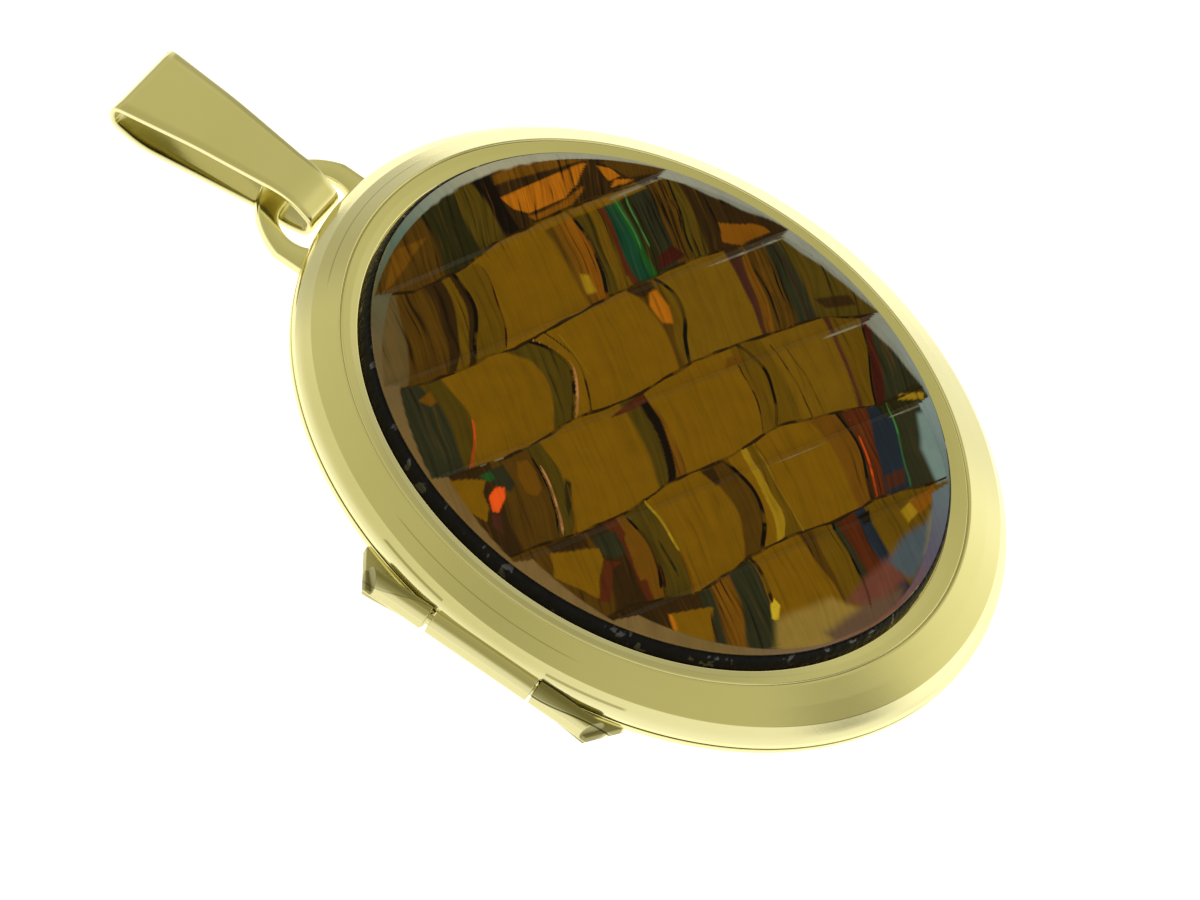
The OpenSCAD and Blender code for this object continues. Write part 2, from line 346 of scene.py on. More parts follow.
def tube(start, end, cap=None, radius=0.5, bore=0.25, edge=0.05, count=48):
    """A tube along the hinge from Y = start to end: a rounded section carried round the hinge's axis,
    x = r cos a, z = r sin a. With a cap, the bore stops at that Y and the end is closed."""
    if cap is None:
        section = rounded([[bore, start, edge], [radius, start, edge], [radius, end, edge],
                           [bore, end, edge]], closed=True, steps=3)
    else:
        section = rounded([[0, cap, 0], [bore, cap, 0], [bore, start, edge], [radius, start, edge],
                           [radius, end, edge], [0, end, 0]], steps=3)
    a = np.linspace(0, 2 * np.pi, count, endpoint=False)
    r, y = section[:, 0, None], section[:, 1, None]
    return np.stack([hinge_at[0] + r * np.cos(a), y + 0 * a, hinge_at[1] + r * np.sin(a)], -1)


print("hinge axis at X", hinge_at[0], "and Z", hinge_at[1], "mm")

# %% [markdown]
# ## The lid
# The lid is a ring of pressed and polished metal. Its outer wall rises upright and rolls over to a soft
# crease, a wide face climbs to a fine groove, and a narrower band falls to the opening, which sits 0.37 mm
# nearer to the bail than the case. A lathe outline with a sideways shift for each of its points makes all
# of this in one surface. Below it has the recess for the snap lip and the plate that carries the stone.

# %% The lid's outline
case_r, seam, opening_shift = 15.5, 1.5, 0.37
groove_r, fine_line_r, fine_line_shift = 13.60, 14.36, 0.17


def soft_curve(points, count=9):
    """A cubic Bezier curve on four points (across, up), as rows (across, up, radius 0, shift 0)."""
    t = np.linspace(0, 1, count)[:, None]
    a, b, c, d = (np.array(p, float) for p in points)
    path = (1 - t) ** 3 * a + 3 * t * (1 - t) ** 2 * b + 3 * t ** 2 * (1 - t) * c + t ** 3 * d
    return np.hstack([path, np.zeros((count, 2))])


crease = (14.95, 2.27)
wall = soft_curve([(case_r, 1.64), (15.48, 1.82), (15.28, 1.96), crease])
lid_outline = rounded(np.vstack([
    with_column([[0, 1.58, 0], [13.95, 1.58, 0.04], [13.95, 1.9, 0.04], [14.65, 1.9, 0.04],
                 [14.65, 1.58, 0.04], [case_r, 1.58, 0.04]], 0.0),
    wall[:-1],
    [[*crease, 0.05, 0.0], [14.35, 2.56, 0.6, fine_line_shift]],
    with_column([[13.66, 2.885, 0.10], [groove_r, 2.80, 0.03], [13.54, 2.865, 0.06], [13.2, 2.82, 0.6],
                 [12.83, 2.725, 0.06], [12.80, 2.50, 0.05], [12.80, 1.83, 0.02], [0, 1.83, 0]],
                opening_shift)]))
print("lid outline of", len(lid_outline), "points")

# %% [markdown]
# ## The lid's place in the hinge
# The middle knuckle is soldered to the lid's wall: a tube on a small seat. The outer knuckles belong to
# the back, and the wall turns past them, so it gives way there. Cutting it with a Boolean would leave
# ragged faces. Instead the points that are too near to the hinge's axis move away from it.

# %% Lid frame
hinge_room = 0.58                      # mm from the hinge's axis that stay free
knuckle_half = 2.36                    # mm from the hinge's middle to each end of the lid's knuckle
gap_start, gap_end = 2.39, 5.1         # and to where the wall gives way, and stops giving way


def hinge_angles(*away):
    """Angles of the case's outline at distances along the hinge from its middle, a close pair for each."""
    y = hinge_middle + np.array([way * (d + off) for d in away for way in (1, -1) for off in (-0.01, 0.01)])
    return np.pi - np.arcsin(y / case_r)


def clear_of_hinge(grid, low, high):
    """Points too near to the hinge's axis, low to high mm from its middle, move straight out from it."""
    off = grid[..., [0, 2]] - hinge_at
    gap = np.linalg.norm(off, axis=-1)
    along = np.abs(grid[..., 1] - hinge_middle)
    near = (gap < hinge_room) & (along > low) & (along < high)
    grid[..., [0, 2]] = np.where(near[..., None], hinge_at + off * (hinge_room / gap)[..., None],
                                 grid[..., [0, 2]])
    return grid


def bar(section, low, high):
    """A closed bar along Y: a section in X and Z, with both ends drawn in to a point."""
    middle = section.mean(0)
    rings = [(low, 0.0), (low, 0.93), (low + 0.04, 1.0), (high - 0.04, 1.0), (high, 0.93), (high, 0.0)]
    return np.stack([np.stack([middle[0] + (section[:, 0] - middle[0]) * k, y + 0 * section[:, 0],
                               middle[1] + (section[:, 1] - middle[1]) * k], -1) for y, k in rings])


knuckle_low, knuckle_high = hinge_middle - knuckle_half, hinge_middle + knuckle_half
seat = np.array([[-14.9, 1.60], [-15.7, 1.60], [-15.7, 1.74], [-14.9, 1.74]])
lid_frame = skin("lid_frame", [
    (clear_of_hinge(turned(lid_outline, extra=hinge_angles(gap_start, gap_end)), gap_start, gap_end),
     False, True),
    (tube(knuckle_low, knuckle_high), True, True),
    (bar(seat, knuckle_low, knuckle_high), False, True)])
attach(lid_frame, "lid")
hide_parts("lid")

# %% [markdown]
# ## The eye
# The eye for the bail is an arched plate with a long slot, stamped from sheet. It could be a flat curve
# with a hole, given a thickness, but then its inner and outer edges couldn't be rounded so evenly. It is
# drawn as rays from the middle of the slot, each of which runs out, over the rounded edge, and back.

# %% Eye plate
def eye_plate(count=121, edge=0.12, low=0.82, high=1.20):
    """The eye as rays from the middle of its slot. A ray starts on the slot, two half circles and a flat
    between them, and ends on the arch: a circle, or the flat side where that is nearer."""
    a = np.linspace(np.radians(-30), np.radians(210), count)[:, None]
    east, north = np.cos(a), np.sin(a)
    cap, slot_r, drop, arch_r, half_wide, slot_y = 1.03, 1.12, 1.13, 3.53, 3.25, 16.03
    round_end = cap * np.abs(east) + np.sqrt(slot_r ** 2 - (cap * north) ** 2)
    flat_side = slot_r / np.maximum(np.abs(north), 1e-6)
    start = np.where(slot_r * np.abs(east) < cap * np.abs(north), flat_side, round_end)
    arch = np.sqrt(arch_r ** 2 - (drop * east) ** 2) - drop * north
    end = np.minimum(arch, half_wide / np.maximum(np.abs(east), 1e-6))
    turn = np.linspace(0, np.pi / 2, 5)
    inset, rise = edge * (1 - np.sin(turn)), edge * (1 - np.cos(turn))
    far = np.hstack([start + inset[::-1], end - inset, end - inset[::-1], start + inset])
    z = np.concatenate([low + rise[::-1], low + rise, high - rise[::-1], high - rise])
    plate = np.stack([far * east, slot_y + far * north, z + 0 * far], -1)
    first, last = (plate[k:k + 1] * 0 + plate[k].mean(0) for k in (0, count - 1))
    return np.concatenate([first, plate, last])


eye = eye_plate()
print("eye reaches Y", round(eye[..., 1].max(), 2), "mm")

# %% [markdown]
# ## The back of the case
# The back is a shallow dish pressed from sheet, with a snap lip inside its edge. The eye and the leaves
# of the hinge are soldered on, so they are one piece with it. The dish is turned as the lid is, and each
# leaf is a slab. The outer knuckles are bent from the same sheet as the leaves, so their far ends are
# closed and cut on a slant.

# %% Back of the case
knuckle_slant, end_wall = 0.62, 0.12


def slab(plan, low, high, edge=0.06):
    """A flat closed slab: a plan drawn in a little at its top and bottom, and closed to its middle."""
    plan = np.array(plan, float)
    steps = np.linspace(0, 1, 7)[:-1, None]
    ring = np.concatenate([a + (b - a) * steps for a, b in zip(plan, np.roll(plan, -1, 0))])
    middle = ring.mean(0)
    inward = (middle - ring) / np.linalg.norm(middle - ring, axis=1)[:, None]
    rings = [(low, None), (low, edge), (low + edge / 3, edge / 3), (low + edge, 0), (high - edge, 0),
             (high - edge / 3, edge / 3), (high, edge), (high, None)]
    return np.stack([with_column(ring * 0 + middle if move is None else ring + inward * move, z)
                     for z, move in rings])


dish_outline = rounded(with_column([
    [0, 0, 0], [12.9, 0, 1.2], [14.3, 0.5, 0.6], [14.95, 0.78, 0.3], [15.36, 1.14, 0.15],
    [case_r, 1.32, 0.06], [case_r, seam, 0.05], [14.5, seam, 0.03], [14.5, 1.8, 0.05], [14.1, 1.8, 0.05],
    [14.1, 1.2, 0.05], [13.5, 0.62, 0.3], [12.9, 0.4, 0.5], [0, 0.4, 0]], 0.0))
LEAVES = [                             # side of the hinge, knuckle's ends, leaf's plan
    (1, 3.0, 5.62, [[-14.3, 2.95], [-15.75, 2.95], [-16.14, 5.60], [-14.20, 6.50], [-13.7, 6.50]]),
    (-1, -2.05, -4.74, [[-14.3, -2.10], [-15.75, -2.10], [-16.06, -4.70], [-14.35, -5.75], [-13.8, -5.75]])]
dish_gap = 2.42
grids = [(clear_of_hinge(turned(dish_outline, extra=hinge_angles(dish_gap)), -1.0, dish_gap), False, True),
         (eye, False, True)]
for side, inner_end, outer_end, plan in LEAVES:
    knuckle = tube(inner_end, outer_end, cap=outer_end - side * end_wall)
    share = np.clip((knuckle[..., 1] - inner_end) / (outer_end - inner_end), 0, 1)
    knuckle[..., 1] += side * knuckle_slant * (knuckle[..., 0] - hinge_at[0]) * share
    grids += [(knuckle, False, True), (slab(plan, 0.96, 1.34), False, True)]
back_case = skin("back_case", grids)
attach(back_case, "case")
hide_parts("back_shell")

# %% [markdown]
# ## The bail's path
# The bail is a thin strap, folded to a loop through the eye: narrow where it passes the slot and wide at
# its free end. Seen from the side, its middle line is a closed outline with rounded corners. Even steps
# along it keep the faces alike.

# %% The bail's path
bail_axis = np.array([0.08, 17.93, 1.13])     # the loop's own origin, mm
loop_corners = np.array([                     # the strap's middle line about the axis: Y, Z, radius
    [5.2, -1.02, 4], [6.62, -0.58, 0.75], [6.9, 0.15, 0.3], [3.4, 0.6, 20], [-0.9, 0.87, 3],
    [-2.15, 0.42, 0.4], [-2.24, -0.5, 0.5], [-1.2, -0.79, 3]])


def closed_path(corners, count):
    """The rounded outline of the corners, with points at even distances along it."""
    path = rounded(corners, closed=True, steps=12, guard=0.0)
    path = np.vstack([path, path[:1]])
    far = np.concatenate([[0], np.cumsum(np.linalg.norm(np.diff(path, axis=0), axis=1))])
    keep = np.concatenate([[True], np.diff(far) > 1e-9])
    even = np.linspace(0, far[-1], count, endpoint=False)
    return np.stack([np.interp(even, far[keep], path[keep, k]) for k in (0, 1)], -1)


path = closed_path(loop_corners, 300)
along = np.roll(path, -1, 0) - np.roll(path, 1, 0)
along /= np.linalg.norm(along, axis=1)[:, None]
outward = np.stack([along[:, 1], -along[:, 0]], -1)
print("bail path of", len(path), "points")

# %% [markdown]
# ## The bail
# A curve with bevel would give the strap one width, so a flat section with round edges is carried along the
# path, and its width follows from where it is. The hidden lower run is narrower than the front. An attribute
# marks the inside of the loop, which the gold's colour gets painted shade on.

# %% Bail strap
strap_half, edge, lean = 0.11, 0.06, np.radians(-3.8)


def smooth(x):
    """0 below 0, 1 above 1, and 3x^2 - 2x^3 between them."""
    x = np.clip(x, 0, 1)
    return x * x * (3 - 2 * x)


front, hidden = (np.interp(path[:, 0], [-3, 0, 6.9], widths) for widths in ([2.2, 2.6, 4.7], [1.5, 1.7, 4.7]))
width = hidden + (front - hidden) * smooth((path[:, 1] + 0.45) / 0.5)
flat = np.linspace(-1, 1, 9)
turn_in = np.linspace(0, np.pi, 7)[1:-1]
across = np.concatenate([flat, 1 + 0 * turn_in, -flat, -1 + 0 * turn_in])
beyond = np.concatenate([0 * flat, np.sin(turn_in), 0 * flat, -np.sin(turn_in)]) * edge
depth = np.concatenate([1 + 0 * flat, np.cos(turn_in), -1 + 0 * flat, -np.cos(turn_in)]) * strap_half
sideways = across * (width[:, None] / 2 - edge) + beyond
forward, up = (path[:, k, None] + outward[:, k, None] * depth for k in (0, 1))
bail_grid = np.stack([sideways * np.cos(lean) - forward * np.sin(lean),
                      sideways * np.sin(lean) + forward * np.cos(lean), up], -1)
hollow = np.tile(np.clip(-depth / strap_half, 0, 1), (len(path), 1)).ravel()
bail_strap = skin("bail_strap", [(bail_grid + bail_axis, True, True)], hollow=hollow)
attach(bail_strap, "bail")
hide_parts("bail")

# %% [markdown]
# ## The black collar
# Black cement fills the gap round the stone and climbs its side to just below the edge. It was pressed in
# by hand, so it is glossy and lumpy. It is turned from its section, a quarter of an ellipse on an upright
# wall, and its material adds the lumps.

# %% Black collar
inner, outer, swell, top = 12.53, 12.77, 2.61, 3.33
rise = np.linspace(0, np.pi / 2, 9)
collar_section = np.vstack([
    [[inner, 1.87], [outer, 1.87]], np.stack([inner + (outer - inner) * np.cos(rise),
                                              swell + (top - swell) * np.sin(rise)], -1)])
black_collar = skin("black_collar", [(turned(with_column(collar_section, opening_shift), 720), True, True)])
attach(black_collar, "lid")
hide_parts("setting_ring")

# %% [markdown]
# ## The stone's grid
# The stone is a round of glass over coloured foil. Its top is cut into long strips, each sloping from its
# ridge to the foot of the next. A round grid would saw through the ridges, so its rows run along the
# strips, and every ridge and every foot is one clean row of points.

# %% Stone: the grid
stone_r, stone_edge, stone_bottom = 12.5, 3.41, 2.23
along_strips = np.array([0.9150, -0.4035])    # direction of the ridges in X and Y, the axis u
across_strips = np.array([0.4035, 0.9150])    # and across them, the axis n
ridge_at = np.array([13.3, 8.83, 4.65, 0.0, -4.45, -8.3, -12.7])
ridge_slant = np.array([0.03, 0.032, -0.009, -0.026, -0.013, -0.012, -0.01])
riser = 0.3                                   # mm from a ridge to the foot of the strip above it
last_even, row_gap = 11.6, 0.03               # mm: end of the even rows, and least gap to a ridge
even_rows = np.linspace(-last_even, last_even, 292)
end_rows = stone_r * np.sin(np.linspace(np.arcsin(last_even / stone_r), np.pi / 2, 12))[1:]
lines = np.concatenate([ridge_at[1:-1], ridge_at[1:-1] + riser])
even_rows = even_rows[np.abs(even_rows[:, None] - lines).min(1) > row_gap]
row_at = np.sort(np.concatenate([even_rows, end_rows, -end_rows, lines]))
slant = np.interp(row_at, ridge_at[::-1], ridge_slant[::-1])
reach = np.sqrt(np.maximum(stone_r ** 2 * (1 + slant ** 2) - row_at ** 2, 0)) / (1 + slant ** 2)
fraction = np.linspace(-1, 1, 300)
u = (-slant * row_at / (1 + slant ** 2))[:, None] + reach[:, None] * fraction
n = row_at[:, None] + slant[:, None] * u
print("stone grid", u.shape)

# %% [markdown]
# ## The stone's height
# A cutter holds the stone to the wheel at one slant for each strip, and last of all grinds the bevel. So
# the height is the lower of two: that of the strips, a sawtooth across the rows, and that of a cone.

# %% Stone: the cut top
foot_height, bevel_slope = 0.02, 0.337


def ridge_height(u):
    """0.26 + 0.06 u / r: the ridges are 0.32 mm high at their right ends and 0.2 mm at their left ends."""
    return 0.26 + 0.06 * u / stone_r


upper = np.searchsorted(-ridge_at, -row_at, side="right") - 1
upper = np.clip(upper, 0, len(ridge_at) - 2)
from_foot = (row_at - ridge_at[upper + 1] - riser) / (ridge_at[upper] - ridge_at[upper + 1] - riser)
on_riser = (ridge_at[upper + 1] + riser - row_at) / riser
share = np.where(from_foot >= 0, from_foot, on_riser)
share = np.where(np.isclose(row_at[:, None], ridge_at).any(1), 1.0, share)[:, None]
strip = foot_height + (ridge_height(u) - foot_height) * share
bevel = np.maximum(stone_r - np.hypot(u, n), 0) * bevel_slope
height = np.minimum(strip, bevel)
x = u * along_strips[0] + n * across_strips[0]
y = u * along_strips[1] + n * across_strips[1] + opening_shift
top_grid = np.stack([x, y, stone_edge + height], -1)
print("stone top from", stone_edge, "to", round(top_grid[..., 2].max(), 2), "mm")

# %% [markdown]
# ## The picture in the stone
# Through the glass one sees coloured foil in pressed, overlapping scales. Each strip shows one course of
# them: dull gold plateaus parted by dark S-shaped folds, and at the ends dark, streaked and coloured ones.
# That picture is charted course by course, in millimetres along and across the strips, with a few named
# tones. A flat pattern texture can't place a single fold, and the folds are what one knows the stone by.

# %% Tones
def linear(red, green, blue):
    """A colour as seen on screen, 0 to 255, turned into the light that makes it."""
    c = np.array([red, green, blue]) / 255
    return np.where(c <= 0.04045, c / 12.92, ((c + 0.055) / 1.055) ** 2.4)


TONES = dict(
    gold=(115, 81, 5), pale_gold=(109, 79, 9), olive=(95, 69, 6), moss=(72, 57, 10),
    dark_moss=(38, 35, 12), brown=(76, 51, 8), umber=(48, 31, 9), tar=(20, 11, 6), ink=(16, 13, 14),
    wine=(60, 20, 12), rust=(78, 34, 12), tan=(102, 65, 8), amber=(124, 74, 8), orange=(166, 96, 12),
    flame=(225, 82, 24), lemon=(196, 166, 40), straw=(148, 116, 20), peach=(205, 140, 90),
    slate=(42, 42, 26), steel=(30, 38, 50), plum=(66, 34, 24), teal=(18, 60, 42), green=(26, 72, 28),
    leaf=(66, 132, 72), stone=(92, 74, 42), mist=(138, 112, 52), lilac=(150, 146, 130),
    sky=(128, 130, 124), pool=(112, 132, 134), rose=(106, 60, 50), blue=(72, 82, 94),
    dusk=(94, 72, 58), fog=(110, 104, 92))
TONES = {name: linear(*tone) for name, tone in TONES.items()}
print(len(TONES), "tones")

# %% [markdown]
# ## Courses and their bands
# A course of foil runs across the whole stone between two wavy edges, and its bands follow each other from
# left to right. A band is charted by its left side alone, because the next band lies over the rest of it,
# as the real scales of foil do.

# %% Courses and bands
# the edges between the courses, from the top: points (u, n)
ROW_EDGES = [
    [(-13, 12.3), (13, 12.3)],
    [(-8.5, 8.6), (-7.1, 8.32), (-4, 8.5), (-1.8, 9.03), (1, 9.25), (5, 9.25), (8.5, 9.1)],
    [(-11.4, 4.68), (-9.5, 4.38), (-7.5, 4.4), (-6.2, 4.55), (-4.7, 4.35), (-1.8, 4.73), (1.7, 4.98),
     (5.1, 5.15), (7.5, 5.06), (11.5, 4.58)],
    [(-12.1, .35), (-9, .18), (-6.3, .33), (-4.6, .6), (-.9, .51), (2.5, .99), (6.6, .85), (9.4, .66),
     (12.4, -.24)],
    [(-9.9, -3.83), (-7.9, -4.04), (-5.6, -3.97), (-2.8, -3.5), (0, -3.5), (3.9, -3.07), (6.6, -3.4),
     (8.85, -3.88), (11.5, -3.88)],
    [(-8.5, -7.7), (-5.15, -8.28), (-3, -8.04), (-1.9, -7.76), (.3, -7.6), (2.8, -7.81), (5.6, -7.57),
     (8.4, -7.9)],
    [(-13, -12.3), (13, -12.3)]]

# bands of each course: tone, streaks, softness, then the left side as u at even steps from top to foot
BANDS = [
    [("brown", 6, .1, -13), ("dark_moss", 5, .35, -4.6, -4.3, -4.6, -5.2),
     ("moss", 9, .2, -2, -2.3, -2.6, -2.8), ("tar", 9, .2, -1, -.9, -1.1, -1.3),
     ("umber", 9, .15, .2, 0, -.3, -.5)],
    [("stone", 3, .1, -13), ("brown", 5, .15, -7.9, -8.7, -9.5, -10.6),
     ("umber", 4, .12, -6.6, -6.8, -7.4, -8.4), ("olive", 4, .08, -5.6, -5.9, -6.7, -8),
     ("umber", 3, .05, -5.1, -5.35, -6.1, -7.3), ("olive", 2, .05, -4.85, -4.95, -5.8, -6.9),
     ("gold", 1, .04, -3.45, -3.6, -4.3, -5.15), ("brown", 3, .35, .55, .5, .25, 0),
     ("tan", 4, .15, 1.1, .85, .4, .15), ("amber", 5, .2, 1.6, 1.35, .9, .5),
     ("moss", 4, .06, 2.2, 2.25, 1.75, 1.1), ("olive", 6, .2, 3, 2.8, 2.2, 1.7),
     ("rust", 5, .12, 3.6, 3.4, 2.95, 2.5), ("teal", 4, .08, 4, 3.7, 3.2, 2.9),
     ("green", 6, .12, 4.5, 4.35, 3.95, 3.6), ("dark_moss", 6, .12, 5, 4.7, 4.3, 4),
     ("slate", 6, .15, 5.6, 5.3, 4.9, 4.4), ("brown", 9, .12, 6.6, 6.3, 5.8, 5.2),
     ("moss", 9, .12, 7.7, 7.2, 6.5, 6), ("umber", 8, .1, 8.2, 7.9, 7.5, 7)],
    [("slate", 4, .2, -13), ("moss", 2, .3, -10.1, -9.9, -10.3, -11),
     ("gold", 1, .12, -8.9, -8.85, -9.3, -10.6), ("moss", 3, .15, -5.3, -4.35, -4.85, -5.8),
     ("gold", 1, .06, -3.95, -3.1, -3.55, -4.7), ("gold", 1, .03, -2.4, -2.4, -2.5, -2.5),
     ("brown", 2, .15, 2.1, 2.4, 2.2, 1.5), ("olive", 3, .12, 3.2, 3.3, 2.6, 1.9),
     ("pale_gold", 1, .12, 3.6, 4, 3.25, 2.2), ("plum", 2, .08, 7.75, 7.35, 6.95, 6.45),
     ("tan", 9, .1, 8.4, 7.9, 7.3, 6.7), ("brown", 9, .15, 8.8, 8.4, 7.8, 7.1),
     ("slate", 8, .2, 9.7, 9.3, 8.9, 8.3), ("moss", 6, .2, 10.4, 10.2, 9.9, 9.5)],
    [("umber", 3, .2, -13), ("brown", 3, .25, -9.6, -10.2, -10.7, -11.2),
     ("moss", 3, .05, -7.85, -7.85, -8.5, -9.2), ("gold", 1, .1, -6.9, -7, -7.5, -8.6),
     ("moss", 3, .2, -2.2, -2.3, -2.75, -3.3), ("tar", 2, .05, -1.45, -1.45, -1.95, -2.8),
     ("tan", 9, .08, -.95, -1, -1.5, -2.4), ("gold", 1, .1, -.85, -.85, -1.1, -1.8),
     ("olive", 3, .06, 4.5, 4.2, 3.75, 3.1), ("olive", 2, .08, 4.9, 5.2, 4.75, 3.8),
     ("pale_gold", 1.5, .25, 6, 5.9, 5.7, 5.1), ("plum", 3, .1, 9.65, 9.2, 8.7, 8),
     ("olive", 4, .12, 9.95, 9.4, 8.9, 8.2), ("wine", 5, .05, 11.35, 10.7, 9.9, 8.8),
     ("slate", 4, .15, 11.9, 11.1, 10.4, 9.4)],
    [("brown", 3, .2, -13), ("umber", 2, .2, -8, -8.1, -8.6, -9.4), ("rust", 2, .15, -6.9, -7, -7.3, -7.6),
     ("tan", 2, .1, -6.2, -6.4, -6.8, -7.3), ("moss", 5, .05, -5.75, -5.7, -6.15, -6.8),
     ("gold", 1.5, .05, -4.45, -4.48, -4.75, -5.55), ("brown", 2, .12, -1.05, -.75, -1.05, -2.2),
     ("gold", 2, .06, .3, .6, .15, -1.1), ("straw", 2, .06, 1.35, 1.1, .65, -.2),
     ("olive", 3, .06, 1.75, 1.45, 1.15, .2), ("gold", 1.5, .05, 2.2, 1.9, 1.6, 1.25),
     ("tan", 3, .15, 5.3, 5.45, 5.1, 4.4), ("umber", 6, .06, 6.85, 6.75, 6.15, 5.3),
     ("rust", 9, .1, 7.1, 6.9, 6.3, 5.6), ("steel", 2, .06, 8.3, 7.7, 6.9, 6.2),
     ("slate", 2, .05, 9.45, 8.85, 8.2, 7.4), ("slate", 2, .1, 10.5, 9.8, 9.1, 8.6)],
    [("umber", 3, .2, -13), ("slate", 3, .25, -5.3, -5.8, -6.6, -7.5), ("tan", 8, .3, -4.6, -5.1, -5.8, -6.6),
     ("slate", 4, .2, -3.3, -3.9, -4.8, -5.6), ("gold", 1.5, .06, -2.05, -2.3, -3, -3.8),
     ("brown", 7, .1, .95, .85, .7, -.2), ("olive", 4, .12, 1.8, 1.3, .95, 0),
     ("slate", 3, .08, 2.9, 2.45, 2.1, 1.2), ("rust", 4, .1, 3.1, 2.8, 2.5, 2.2),
     ("steel", 3, .12, 4.1, 3.75, 3.4, 3.1), ("olive", 4, .08, 4.7, 4.4, 4.1, 3.9)]]
print(len(BANDS), "courses with", sum(len(bands) for bands in BANDS), "bands")

# %% [markdown]
# ## Thin lines
# The folds end in dark lines, some with a bright thread beside them, and the ridges of the cut get thin
# painted highlights. A line is thinner than the step of the grid, so it can't be painted on the points. It is
# charted by its middle and its width, and the material draws it from the distance to it.

# %% Lines and glints
# lines of each course: tone, half width at the top and at the foot, where the line starts and ends as t,
# then u at even steps from the top of the course, t = 1, to its foot, t = 0
LINES = [
    [],
    [("tar", .1, .08, 1, 0, -4.85, -4.95, -5.75, -6.9), ("wine", .03, .05, .9, .05, -3.42, -3.6, -4.3, -5.15),
     ("ink", .08, .09, 1, 0, 2.15, 2.22, 1.72, 1), ("leaf", .03, .02, .95, .3, 4.75, 4.55, 4.15, 3.8),
     ("leaf", .03, .02, .9, .3, 5.5, 5, 4.6, 4.1), ("umber", .06, .05, 1, 0, 7.35, 6.85, 6.3, 5.8),
     ("tar", .05, .05, 1, 0, 7.9, 7.3, 6.7, 6.2), ("tan", .04, .04, 1, .1, 7.6, 7.1, 6.5, 6)],
    [("flame", .02, .07, .5, 0, -8.9, -8.8, -9.3, -10.7), ("tar", .09, .08, 1, 0, -4, -3.08, -3.5, -4.75),
     ("peach", .04, .06, .55, .02, -3.82, -2.9, -3.31, -4.55),
     ("straw", .03, .03, .95, .35, -2.35, -2.4, -2.5, -2.5),
     ("umber", .03, .04, 1, 0, -3, -2.55, -2.85, -3.7), ("ink", .1, .08, 1, 0, 3.6, 3.95, 3.2, 2.2),
     ("amber", .05, .04, 1, 0, 8.6, 8.2, 7.6, 6.9), ("amber", .04, .03, .95, .4, 9.15, 8.7, 8.2, 7.7),
     ("tan", .04, .03, .95, 0, 9.7, 9.1, 8.6, 8), ("plum", .04, .05, 1, 0, 10.2, 9.9, 9.5, 9.1)],
    [("tar", .05, .04, .9, .05, -7.85, -7.85, -8.45, -9.25),
     ("peach", .03, .06, .75, .05, -7.69, -7.69, -8.27, -9.05),
     ("amber", .03, .06, .5, 0, -6.8, -6.85, -7.45, -8.5), ("umber", .03, .03, .8, 0, 4.5, 4.2, 3.75, 3),
     ("tar", .09, .06, 1, 0, 4.85, 5.25, 4.75, 3.75), ("brown", .03, .03, .9, 0, 6.4, 6.3, 6.1, 5.7),
     ("olive", .03, .03, .9, 0, 7.1, 6.9, 6.7, 6.3), ("tar", .04, .05, .9, 0, 11.35, 10.7, 9.85, 8.8)],
    [("tar", .07, .06, .95, .12, -5.8, -5.65, -6.15, -6.95),
     ("wine", .04, .05, .8, .12, -5.65, -5.55, -6, -6.8),
     ("dark_moss", .1, .05, .6, .2, -5.1, -5.1, -5.4, -5.9),
     ("lemon", .07, .05, 1, .4, -4.47, -4.45, -4.72, -5.5),
     ("amber", .07, .06, .45, 0, -4.47, -4.45, -4.72, -5.5), ("tar", .1, .09, 1, 0, .3, .62, .2, -1.1),
     ("straw", .03, .05, .9, 0, 2.2, 1.9, 1.62, 1.3), ("ink", .07, .05, 1, 0, 6.85, 6.75, 6.15, 5.25),
     ("flame", .02, .02, .7, 0, 7.3, 7, 6.4, 5.7), ("leaf", .035, .03, .97, .02, 9.4, 8.85, 8.2, 7.4)],
    [("umber", .1, .08, 1, .55, -1.95, -2.15, -2.9, -3.8), ("tar", .07, .05, 1, .1, 2.9, 2.45, 2.1, 1.2),
     ("wine", .04, .03, .75, .35, -4.9, -5.5, -6.3, -7.2)]]

# painted highlights on the ridges: n at u = -12 and at u = 12, where the highlight starts, half width
GLINTS = [(8.45, 9.21, 3.5, 0.06), (4.76, 4.54, 6.0, 0.05), (0.3, -0.33, 8.0, 0.05),
          (-4.28, -4.61, 8.4, 0.05)]
print(sum(len(lines) for lines in LINES), "thin lines,", len(GLINTS), "glints")
